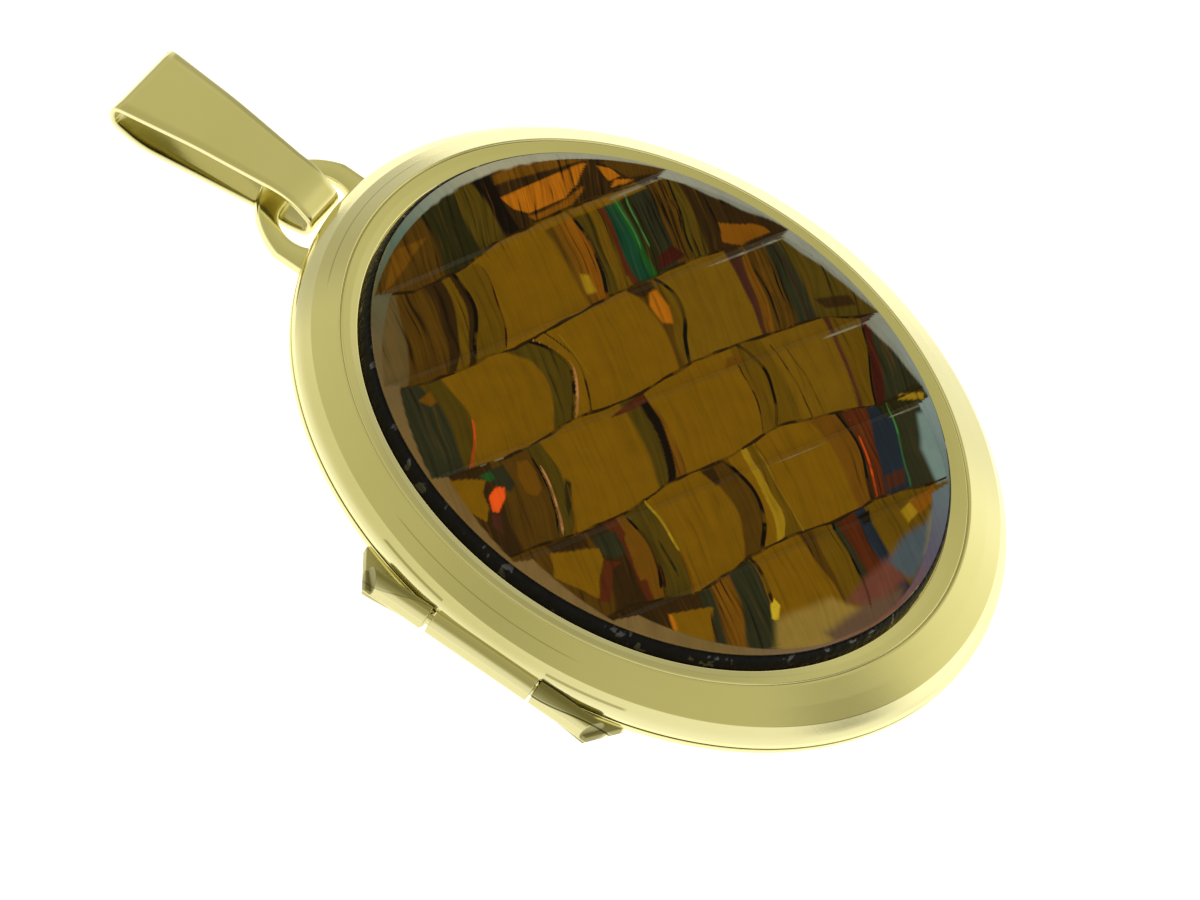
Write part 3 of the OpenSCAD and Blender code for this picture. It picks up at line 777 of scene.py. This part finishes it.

# %% [markdown]
# ## Patches
# What follows no course, such as a coloured fleck, the corner of a torn scale or the tent's grey reflection
# painted on the facets by the far edge, is a polygon with a tone and a soft edge. Later patches lie over
# earlier ones.

# %% Patches
# tone, streaks, softness, then the corners as u, n, u, n ...
PATCHES = [
    ("tan", 6, .12, -8.4, 8.7, -6.9, 9.3, -4.8, 10.3, -6.6, 10.3),
    ("orange", 5, .06, -.15, 10.75, 0, 10.1, .5, 9.75, 2.5, 9.75, 3.6, 10.1, 4.75, 10.9, 2.5, 10.95),
    ("amber", 6, .08, .4, 9.6, .6, 9.3, 2.6, 9.35, 3.6, 9.7, 3.9, 9.95, 2.2, 9.62),
    ("tan", 6, .1, .2, 11.9, 0, 11.4, 3.2, 11.2, 4.8, 11, 3.4, 11.6, 2, 11.95),
    ("orange", 3, .04, 5.1, 10.6, 5.1, 9.8, 5.75, 9.85, 5.6, 10.3),
    ("orange", 3, .03, 4.95, 9.45, 6.3, 9.45, 5.4, 9.78),
    ("brown", 3, .08, 5.4, 10.7, 6.1, 9.6, 8.5, 9.1, 7, 10.3),
    ("gold", 3, .12, -4, 8.4, -1.8, 8.6, 1, 8.75, 6.5, 8.85, 6.2, 9.3, 1, 9.25, -1.8, 8.98, -3.4, 8.6),
    ("wine", 5, .1, 4.2, 5.3, 4.6, 5.9, 5.6, 6.1, 5.9, 5.4),
    ("straw", 3, .1, .25, 5.45, .6, 6.4, .95, 6.2, .75, 5.4),
    ("rust", 3, .1, 2.5, 5.5, 3, 6.6, 3.25, 6.8, 2.95, 5.6),
    ("amber", 1, .04, 7.95, 5.4, 8.4, 6.2, 9.9, 5.7, 10.4, 5.3, 10.5, 4.98, 8.6, 4.98),
    ("umber", 2, .06, 8.5, 6.4, 9, 7.3, 11, 5.2, 10.5, 5.3, 9.9, 5.75),
    ("tan", 3, .08, -10.6, 3.8, -9.8, 4, -9.85, 3.45, -10.3, 3.4),
    ("orange", 2, .15, 2.5, 3, 2.5, 4, 2.9, 4.55, 3.35, 4.5, 3.3, 3.6, 2.9, 2.8),
    ("umber", 2, .1, 2, 4.95, 3.4, 4.95, 3.3, 4.6, 2.5, 4.4, 2.2, 4.6),
    ("umber", 2, .06, 7.7, 4.9, 9.7, 4.85, 9.6, 4.5, 7.8, 4.5),
    ("umber", 3, .12, 10, 1.5, 11.6, 1.1, 11.6, .6, 10.2, .9),
    ("gold", 1, .05, -12.1, .25, -10.4, -.4, -10.9, -.85, -11.1, -1.5, -11.7, -2.05, -12.2, -1.2),
    ("slate", 2, .1, -10.3, -.1, -9.1, -.05, -9.3, -1, -9.8, -1.25, -10.2, -.7),
    ("green", 2, .1, -10.6, -.15, -9.9, -.1, -9.9, -.45, -10.3, -.5),
    ("flame", 2, .06, -10.2, -.8, -9.9, -.95, -10.2, -1.4, -10.9, -1.85, -11.1, -1.7, -10.8, -1.1),
    ("plum", 2, .1, -11.2, -1.8, -10.9, -2, -11.4, -2.9, -11.6, -2.3),
    ("tan", 1, .08, -8.5, -.15, -8, -.25, -7.95, -.9, -8.3, -1.7, -8.8, -1.9, -9.1, -1.6, -8.9, -.8),
    ("dark_moss", 2, .08, -7, -1.6, -6.9, -1.9, -7.5, -2.7, -8.2, -3.2, -7.7, -2.5),
    ("rust", 3, .1, -3, .1, -2, .3, -1.3, .5, -.85, .45, -1, .1, -1.6, .02, -2.3, 0),
    ("tan", 1, .12, 3.6, .1, 4, .5, 4.8, .5, 4.5, .1),
    ("dark_moss", 6, .06, 8.8, -3.9, 11.4, -3.6, 11.3, -4.5, 9, -4.6),
    ("straw", 3, .08, 10.1, -3.95, 10.35, -3.75, 11.4, -4.15, 11.2, -4.45),
    ("umber", 2, .05, -10, -3.9, -8.2, -4.1, -8.3, -4.75, -10, -4.3),
    ("gold", 1, .05, -10.1, -4.3, -8.4, -4.8, -7.95, -4.95, -8.1, -5.45, -9, -6.2, -9.6, -6.9, -10.8, -5.3),
    ("slate", 2, .1, -7.9, -4.4, -6.7, -4.5, -6.9, -5.5, -7.6, -5.6, -8, -5.2),
    ("rust", 2, .06, -7.4, -5.8, -8.1, -5.5, -8.9, -6.2, -9.7, -6.95, -9.3, -7.2, -8.5, -6.5, -8, -5.95),
    ("tan", 1, .06, -6.5, -4.9, -5.85, -4.5, -5.85, -5.2, -6.4, -6.3, -6.7, -7, -7.25, -6.9, -7.1, -6.2),
    ("umber", 2, .1, -1.05, -3.6, -.3, -3.6, -.6, -4.3, -.9, -4.4),
    ("plum", 2, .15, 6.3, -7.5, 6.7, -6.8, 7.9, -6.9, 7.3, -7.5),
    ("gold", 1, .05, -7.2, -8.6, -6.9, -8.65, -5.1, -9.1, -5.8, -10, -6.2, -10.5, -7.7, -9.6),
    ("orange", 2, .05, -7.2, -8.6, -7.05, -8.7, -7.3, -9.3, -7.7, -9.6),
    ("lemon", 1, .05, -2.2, -9.8, -2.6, -10, -3.1, -10.6, -2.8, -10.7, -2.2, -10.2),
    ("mist", 1, .5, -3.9, -11.9, -3, -10.7, .2, -10.7, 1.6, -12.3, -2, -12.6),
    ("tar", 1, .06, 4.1, -7.95, 4.8, -7.9, 4.5, -8.4, 4.1, -8.4),
    ("olive", 2, .06, 4.5, -8.5, 5, -8.05, 6.9, -7.95, 7, -8.6, 6, -9.3, 4.5, -9.9),
    ("straw", 2, .1, 6.2, -8.5, 7.2, -8.2, 7, -8.8, 6.1, -9.1),
    ("amber", 2, .08, 6.9, -8.3, 8.5, -8, 8.4, -8.5, 7, -8.9),
    # painted reflections of the tent in the facets by the far edge: the three sky patches
    ("sky", 0, .12, 8, 8.95, 9, 7.6, 10, 6.4, 11.2, 5.2, 11.6, 6.2, 9.6, 9.2, 8.3, 9.6),
    ("sky", 0, .12, 10.7, 4.5, 11.5, 2.7, 12.2, .2, 13, .4, 12.4, 4.4),
    ("sky", 0, .12, 11.35, -.3, 11.6, -1.8, 11.5, -4.5, 12.6, -4.2, 13, -.3),
    ("pool", 0, .3, 10.4, -4.9, 9.3, -6.4, 8.8, -8, 10.4, -8, 12.2, -5),
    ("rose", 1, .5, .8, -11.2, 2.2, -10.6, 4.2, -10.1, 4, -11.2, 1.8, -12),
    ("blue", 1, .4, 3.9, -10.3, 5.5, -9.5, 7.4, -9.3, 6.3, -10.5, 4.3, -11.4),
    ("dusk", 1, .5, -1.2, -12, 1.4, -11.6, 3.6, -11.5, 2.8, -12.6, -1, -12.8),
    ("fog", 0, .3, 7.2, -9.2, 8.6, -8.3, 9.4, -8.4, 6.4, -11, 5.6, -10.6)]
print(len(PATCHES), "patches")

# %% [markdown]
# ## Measuring on the chart
# Two questions are asked of the chart at every point of the stone at once: where does a charted side run
# at this height of its course, and how deep inside a patch does the point lie? A polynomial through the
# few charted places answers the first, since a fold has only one or two bends. Splines would do as well.

# %% Sides and patches
def course(values, t):
    """A smooth curve through values at even steps of t from 1, the course's top, down to 0, its foot."""
    return np.polyval(np.polyfit(np.linspace(1, 0, len(values)), values, len(values) - 1), t)


def depth_inside(corners, u, n):
    """Distance from each point to the outline of a patch, positive where a ray to the right crosses the
    outline an odd number of times, which is inside it."""
    corners = np.reshape(corners, (-1, 2))
    away, within = np.full(u.shape, np.inf), np.zeros(u.shape, bool)
    for (a, b), (c, d) in zip(corners, np.roll(corners, -1, 0)):
        along = np.clip(((u - a) * (c - a) + (n - b) * (d - b)) / ((c - a) ** 2 + (d - b) ** 2), 0, 1)
        away = np.minimum(away, np.hypot(u - a - along * (c - a), n - b - along * (d - b)))
        within ^= ((b > n) != (d > n)) & (u < (c - a) * (n - b) / (d - b + 1e-12) + a)
    return np.where(within, away, -away)


print("middle of the first fold at", round(course(LINES[1][0][5:], 0.5), 2), "mm")

# %% [markdown]
# ## Reading the chart
# Bands are laid over each other like coats of paint, then the patches, and each line leaves its distance
# and its tone. Two small waves in the coordinates keep the charted edges from looking ruled. An image
# painted by hand would be simpler, but it would be one more file and would blur close up.

# %% Reading the chart
wide_open = 4.0                        # a line's distance, in half widths, where there is no line
thinnest, fade, tick = 0.045, 0.1, 0.01       # mm; share of a course; small step in t


def read_chart(u, n):
    """Colour with streak strength, the grain's coordinates, and the nearest line's distance and colour."""
    straight_n = n
    u, n = (u + 0.04 * np.sin(1.9 * u + 1.3 * n) + 0.02 * np.sin(3.7 * n - 2.2 * u),
            n + 0.03 * np.sin(1.3 * u - 1.9 * n) + 0.012 * np.sin(4.1 * u + 2.3 * n))
    edges = [np.interp(u, *np.array(edge).T) for edge in ROW_EDGES]
    paint, grain = np.zeros(u.shape + (4,)), np.zeros(u.shape + (4,))
    nib, nib_tone = np.full(u.shape, wide_open), np.zeros(u.shape + (4,))

    def lay(cover, tone, streaks):
        paint[...] += (np.append(TONES[tone], streaks / 9) - paint) * cover[..., None]

    def draw(off, half, tone, where=True):
        off = np.abs(off) / np.maximum(half, 0.004)
        nearer = where & (off < nib)
        nib[nearer] = off[nearer]
        nib_tone[nearer] = (*TONES[tone], 1)

    for row, bands in enumerate(BANDS):
        deep = edges[row] - edges[row + 1]
        here = ((n <= edges[row]) | (row == 0)) & (n > edges[row + 1])
        t = np.clip((n - edges[row + 1]) / deep, 0, 1)
        grain[here] = np.stack([u + 0.9 * (1 - t) + 0.6 * (1 - t) ** 2, t, 0 * t + 3 * row, 0 * t], -1)[here]
        for tone, streaks, soft, *side in bands:
            lay(np.where(here, smooth((u - course(side, t)) / soft + 0.5), 0), tone, streaks)
        for tone, top_half, foot_half, t1, t0, *side in LINES[row]:
            slope = (course(side, t + tick) - course(side, t - tick)) / (2 * tick) / deep
            half = np.maximum(foot_half + (top_half - foot_half) * t, thinnest)
            half = half * smooth((t1 + fade / 2 - t) / fade) * smooth((t - t0 + fade / 2) / fade)
            draw((u - course(side, t)) / np.hypot(1, slope), half, tone, here)
    for tone, streaks, soft, *corners in PATCHES:
        lay(smooth(depth_inside(corners, u, n) / soft + 0.5), tone, streaks)
    for k in range(1, len(BANDS)):
        draw(n - edges[k], thinnest + 0.03 * np.sin(1.3 * u + 2 * k) ** 2, "umber")
    # the ridges' painted highlights
    for left, right, start, half in GLINTS:
        draw(straight_n - np.interp(u, [-12, 12], [left, right]), half * smooth((u - start) / 1.5), "lilac")
    return paint, grain, nib, nib_tone


chart_level, sight = 0.15, (0.948, 0.448)     # charted on this level; mm along u and n to the mm of height
off_level = np.where(bevel < strip, chart_level, chart_level - height)
paint, grain, nib, nib_tone = read_chart(u - sight[0] * off_level, n - sight[1] * off_level)
print("chart read at", paint.shape[0] * paint.shape[1], "points")

# %% [markdown]
# ## The bevel's painted colours
# The bevel is steeper than the strips, so it shows other parts of the foil and more of the sky, and its
# colours are painted: grey and lilac on the far side are a painted reflection of the tent, and the brown at
# the near one and the pink and blue at its foot are painted views through the glass. It is charted by its
# direction alone, because it is too narrow to show more.

# %% Stone: the bevel
BEVEL = [                              # degrees from the strips' right ends, and the tone there
    (0, (121, 123, 113)), (30, (130, 132, 122)), (60, (146, 146, 134)), (90, (158, 155, 138)),
    (105, (126, 132, 124)), (118, (84, 104, 98)), (132, (84, 84, 66)), (150, (98, 80, 52)),
    (180, (110, 84, 46)), (210, (112, 88, 52)), (240, (106, 84, 46)), (262, (112, 88, 70)),
    (282, (112, 62, 58)), (300, (78, 72, 100)), (318, (80, 96, 106)), (338, (112, 130, 134)),
    (360, (121, 123, 113))]
angle = np.degrees(np.arctan2(n, u)) % 360
turns, shades = zip(*BEVEL)
shades = np.array([linear(*shade) for shade in shades])
bevel_tone = np.stack([np.interp(angle, turns, shades[:, k]) for k in range(3)] + [0 * angle + 0.1], -1)
cover = smooth((strip - bevel) / 0.02 + 0.5)
# on the bevel its painted colours, painted reflections among them, cover the chart
paint = paint + (bevel_tone - paint) * cover[..., None]
nib = np.where(cover > 0.5, wide_open, nib)
gloss = 0.03 + 0.35 * cover
print("bevel covers", round(100 * (cover > 0.5).mean()), "% of the grid")

# %% [markdown]
# ## The stone's side
# Below the bevel the stone drops straight to a small chamfer and a flat bottom, all hidden in the collar.
# The grid's own rim is carried down, so that the two sheets share their points and merge. The attributes
# go down with it.

# %% Stone: side and mesh
chamfer = 0.15


def rim_of(grid):
    """The values along the four sides of a grid, once round."""
    return np.concatenate([grid[:-1, 0], grid[-1, :-1], grid[:0:-1, -1], grid[0, :0:-1]])


def with_side(values, side_value):
    """Values of the top's points, its rim's values again for the side's upper row, and one for the rest."""
    return np.concatenate([values.reshape(u.size, -1), rim_of(values).reshape(len(rim), -1),
                           np.tile(side_value, (3 * len(rim), 1))]).squeeze()


rim = rim_of(top_grid)
centre = np.array([0, opening_shift, 0])
lower = rim * [1, 1, 0] + [0, 0, stone_bottom + chamfer]
foot = (rim * [1, 1, 0] - centre) * (1 - chamfer / stone_r) + centre + [0, 0, stone_bottom]
side = np.stack([rim, lower, foot, foot * 0 + centre + [0, 0, stone_bottom]])
stone = skin("cut_stone", [(top_grid, False, False), (side, False, True)], crisp=12.0,
             paint=with_side(paint, [*TONES["brown"], 0.3]), grain=with_side(grain, [0, 0, 0, 0]),
             nib=with_side(nib, [wide_open]), nib_tone=with_side(nib_tone, [0, 0, 0, 1]),
             gloss=with_side(gloss, [0.6]))
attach(stone, "lid")
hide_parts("stone")

# %% [markdown]
# ## Gold
# The locket is plated with a pale, greenish gold and polished, so it mirrors the tent. A perfect mirror
# looks drawn, and real plating has a faint haze and the fine marks of the polishing mop. Both are noise on
# the pieces' own coordinates, from which the places of the hinge and the grooves are worked out too.

# %% Gold: haze, marks and places
gold = bpy.data.materials.new("polished_gold")
bench = Bench(gold)
place = bench.millimetres()
haze = bench.noise(place, 0.35, 2.0)
marks = bench.noise(bench.millimetres((9.0, 2.0, 5.0)), 1.2, 5.0)
tone = bench.blend(haze, (0.88, 0.815, 0.415), (0.92, 0.855, 0.455))
x, y, z = (bench.add("ShaderNodeSeparateXYZ", None, {0: place}, out=k) for k in range(3))
along_pin = abs(y - hinge_middle)
from_pin = ((x - hinge_at[0]) ** 2.0 + (z - hinge_at[1]) ** 2.0) ** 0.5
from_axis = (x * x + y * y) ** 0.5
print("gold has", len(bench.tree.nodes), "nodes so far")

# %% [markdown]
# ## Dull places and painted shade at the hinge
# The polishing mop doesn't reach the dents between the outer knuckles and the case, the pockets beside their
# leaves or their closed ends, so these are made dull, and they are also painted dark as shade. A painted
# shadow line runs along the pockets' edge, a thin painted dark reflection of the gaps between the knuckles
# lies on the wall, and the knuckles themselves get a little painted shade. All are blended in from their
# places. Modelled, they would be finer than the pieces' grids.

# %% Gold: dull places and painted shade at the hinge
by_hinge = (1.0 - (x + 14.0).step(0.0, 0.1)) * (1.0 - along_pin.step(6.4, 6.6)) * along_pin.step(2.42, 2.48)
bail_side = y.step(0.4, 0.5)           # 1 at the knuckle nearer to the bail
outer_share = ((along_pin - 2.5) / 2.9).step(0.0, 1.0)
# painted shade: every knuckle is painted a little darker
tone = bench.blend((1.0 - from_pin.step(0.505, 0.52)) * 0.35, tone, (0.40, 0.36, 0.16))
climb = 0.69 * x + 0.723 * z           # how far up a 46-degree slope a point lies
# the pockets' painted shade reaches up to this slanting edge
pocket_edge = bail_side * (-9.27 - 0.70 * outer_share) + (1.0 - bail_side) * (-9.93 + 0.40 * outer_share)
brink = climb - pocket_edge
off_wall = from_axis.step(15.52, 15.56)
pocket_shade = brink.step(0.0, 0.1) * off_wall * (1.0 - z.step(2.0, 2.02))
dent = from_pin.step(0.52, 0.55) * (1.0 - from_pin.step(0.60, 0.66))
# the dents and pockets: made rougher, and painted dark as shade
dull_and_shaded = (dent + pocket_shade).step(0.0, 1.0) * by_hinge
end_at = along_pin - knuckle_slant * (x - hinge_at[0])
# the knuckles' closed ends are also painted dark as shade
end_cap = end_at.step(5.14, 5.17) * (1.0 - from_pin.step(0.50, 0.52))
dull_and_shaded = dull_and_shaded + (1.0 - dull_and_shaded) * end_cap * by_hinge
# painted shade: the dull places are blended to dark olive
tone = bench.blend(dull_and_shaded * (0.70 - 0.22 * bail_side + 0.28 * bail_side * end_cap), tone, (0.16, 0.14, 0.035))
# painted shadow: a dark line along the edge of the pockets' painted shade
fold = brink.near(0.0, 0.02, 0.05) * off_wall * by_hinge
tone = bench.blend(fold * (0.85 - 0.45 * bail_side), tone, (0.03, 0.025, 0.005))
# painted reflection: a thin dark line on the wall band, where the gaps between the knuckles are mirrored
painted_slot_reflection = z.near(2.02, 0.02, 0.05) * by_hinge * (1.0 - along_pin.step(5.6, 5.9))
tone = bench.blend(painted_slot_reflection * 0.6, tone, (0.25, 0.22, 0.06))
print("and", len(bench.tree.nodes), "with the dull places")

# %% [markdown]
# ## Grooves and the bail's inside
# The bottom of the fine groove is painted dark as shade, since a polished groove would shine. One groove is
# modelled, and the other, a scribed line that shows only here and there, is colour alone: a line of painted
# shade. The inside of the bail is painted darker as shade. The stone and its collar are kept out of the
# gold's mirror images, because the real band round them hardly shows them.

# %% Gold: grooves and the finished material
groove_shade = (0.30, 0.27, 0.08)
from_opening = (x * x + (y - opening_shift) ** 2.0) ** 0.5
# painted shade in the bottom of the modelled groove
tone = bench.blend(from_opening.near(groove_r, 0.03, 0.06) * 0.45, tone, groove_shade)
# painted shade along the scribed line, only where it shows
fine_line = ((x * x + (y - fine_line_shift) ** 2.0) ** 0.5).near(fine_line_r, 0.01, 0.035)
seen_at = (1.0 - (x + 13.4).step(0.0, 0.6)) * (y + 3.5).step(0.0, 2.0) + y.step(13.6, 14.1)
tone = bench.blend(fine_line * seen_at.step(0.0, 1.0) * 0.45, tone, groove_shade)
# painted shade: the inside of the bail is painted darker
inside = bench.add("ShaderNodeAttribute", {"attribute_name": "hollow"}, out=2)
tone = bench.blend(inside * 0.5, tone, (0.40, 0.39, 0.26))
bench.surface({"Base Color": tone, "Metallic": 1.0, "Normal": bench.bump(marks, 0.05, 0.02),
               "Roughness": 0.08 + 0.08 * haze + 0.05 * marks + 0.35 * dull_and_shaded})
dress(gold, lid_frame, back_case, bail_strap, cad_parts["hinge_pin"])
black_collar.visible_glossy = stone.visible_glossy = False

# %% [markdown]
# ## Black cement
# The cement is jet black and glossy where it was wiped, with small lumps that catch the light. The wiped
# places are spots of clear coat, from a second noise.

# %% Black cement material
cement = bpy.data.materials.new("black_cement")
bench = Bench(cement)
lumps = bench.noise(bench.millimetres(), 3.0, 4.0)
wiped = bench.noise(bench.millimetres(), 1.7, 2.0).step(0.62, 0.67)
bench.surface({"Base Color": bench.blend(lumps, (0.003, 0.003, 0.003), (0.012, 0.01, 0.008)),
               "Roughness": 0.2 + 0.2 * lumps, "Specular IOR Level": 0.04, "Coat Weight": wiped,
               "Coat Roughness": 0.05, "Normal": bench.bump(lumps, 0.8, 0.1)})
dress(cement, black_collar)

# %% [markdown]
# ## Glass over foil
# Real glass over foil would have to be traced through a clear solid. A baked model can't carry that, so
# the chart's colours lie on the surface under a thin clear coat. Noise stretched along the folds makes the
# fine streaks of the pressed foil, and the chart's lines are drawn from their distance, so they stay crisp.

# %% Glass over foil material
glass = bpy.data.materials.new("glass_over_foil")
bench = Bench(glass)
read = {key: bench.add("ShaderNodeAttribute", {"attribute_name": key}, out=out)
        for key, out in (("paint", 0), ("grain", 1), ("nib", 2), ("nib_tone", 0), ("gloss", 2))}
streaky = bench.add("ShaderNodeAttribute", {"attribute_name": "paint"}, out=3)
threads = bench.noise(bench.vector("MULTIPLY", read["grain"], (5.0, 0.9, 4.0)), 1.0, 5.0)
mottle = bench.noise(bench.millimetres(), 1.1, 5.0)
light = 1.42 * (1.0 + (threads - 0.5) * (0.12 + 3.2 * streaky) + (mottle - 0.5) * 0.35)
grey = bench.add("ShaderNodeCombineColor", None, {0: light, 1: light, 2: light})
colour = bench.blend(1.0, read["paint"], grey, "MULTIPLY")
colour = bench.blend(threads.step(0.60, 0.66) * streaky * 0.9, colour, tuple(TONES["tan"]))
colour = bench.blend((1.0 - threads.step(0.34, 0.40)) * (1.3 * streaky - 0.1), colour, tuple(TONES["tar"]))
pressed = 0.45 + 0.55 * bench.noise(bench.millimetres(), 0.9, 4.0).step(0.42, 0.54)
colour = bench.blend((1.0 - read["nib"].step(0.6, 1.45)) * pressed, colour, read["nib_tone"])
bench.surface({"Base Color": colour, "Roughness": 0.5, "Specular IOR Level": 0.03,
               "Coat Weight": read["gloss"], "Coat Roughness": 0.04})
dress(glass, stone)

# %% [markdown]
# ## Foil
# The foil itself is shut in between the glass and the lid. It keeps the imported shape, with a material of
# thin embossed metal: the same dull gold, creased at random.

# %% Foil material
crumpled = bpy.data.materials.new("foil")
bench = Bench(crumpled)
creases = bench.noise(bench.millimetres(), 1.6, 6.0)
bench.surface({"Base Color": bench.blend(creases, (0.28, 0.15, 0.02), (0.52, 0.36, 0.08)), "Metallic": 1.0,
               "Roughness": 0.25 + 0.2 * creases, "Normal": bench.bump(creases, 0.5, 0.1)})
dress(crumpled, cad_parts["foil_backing"])
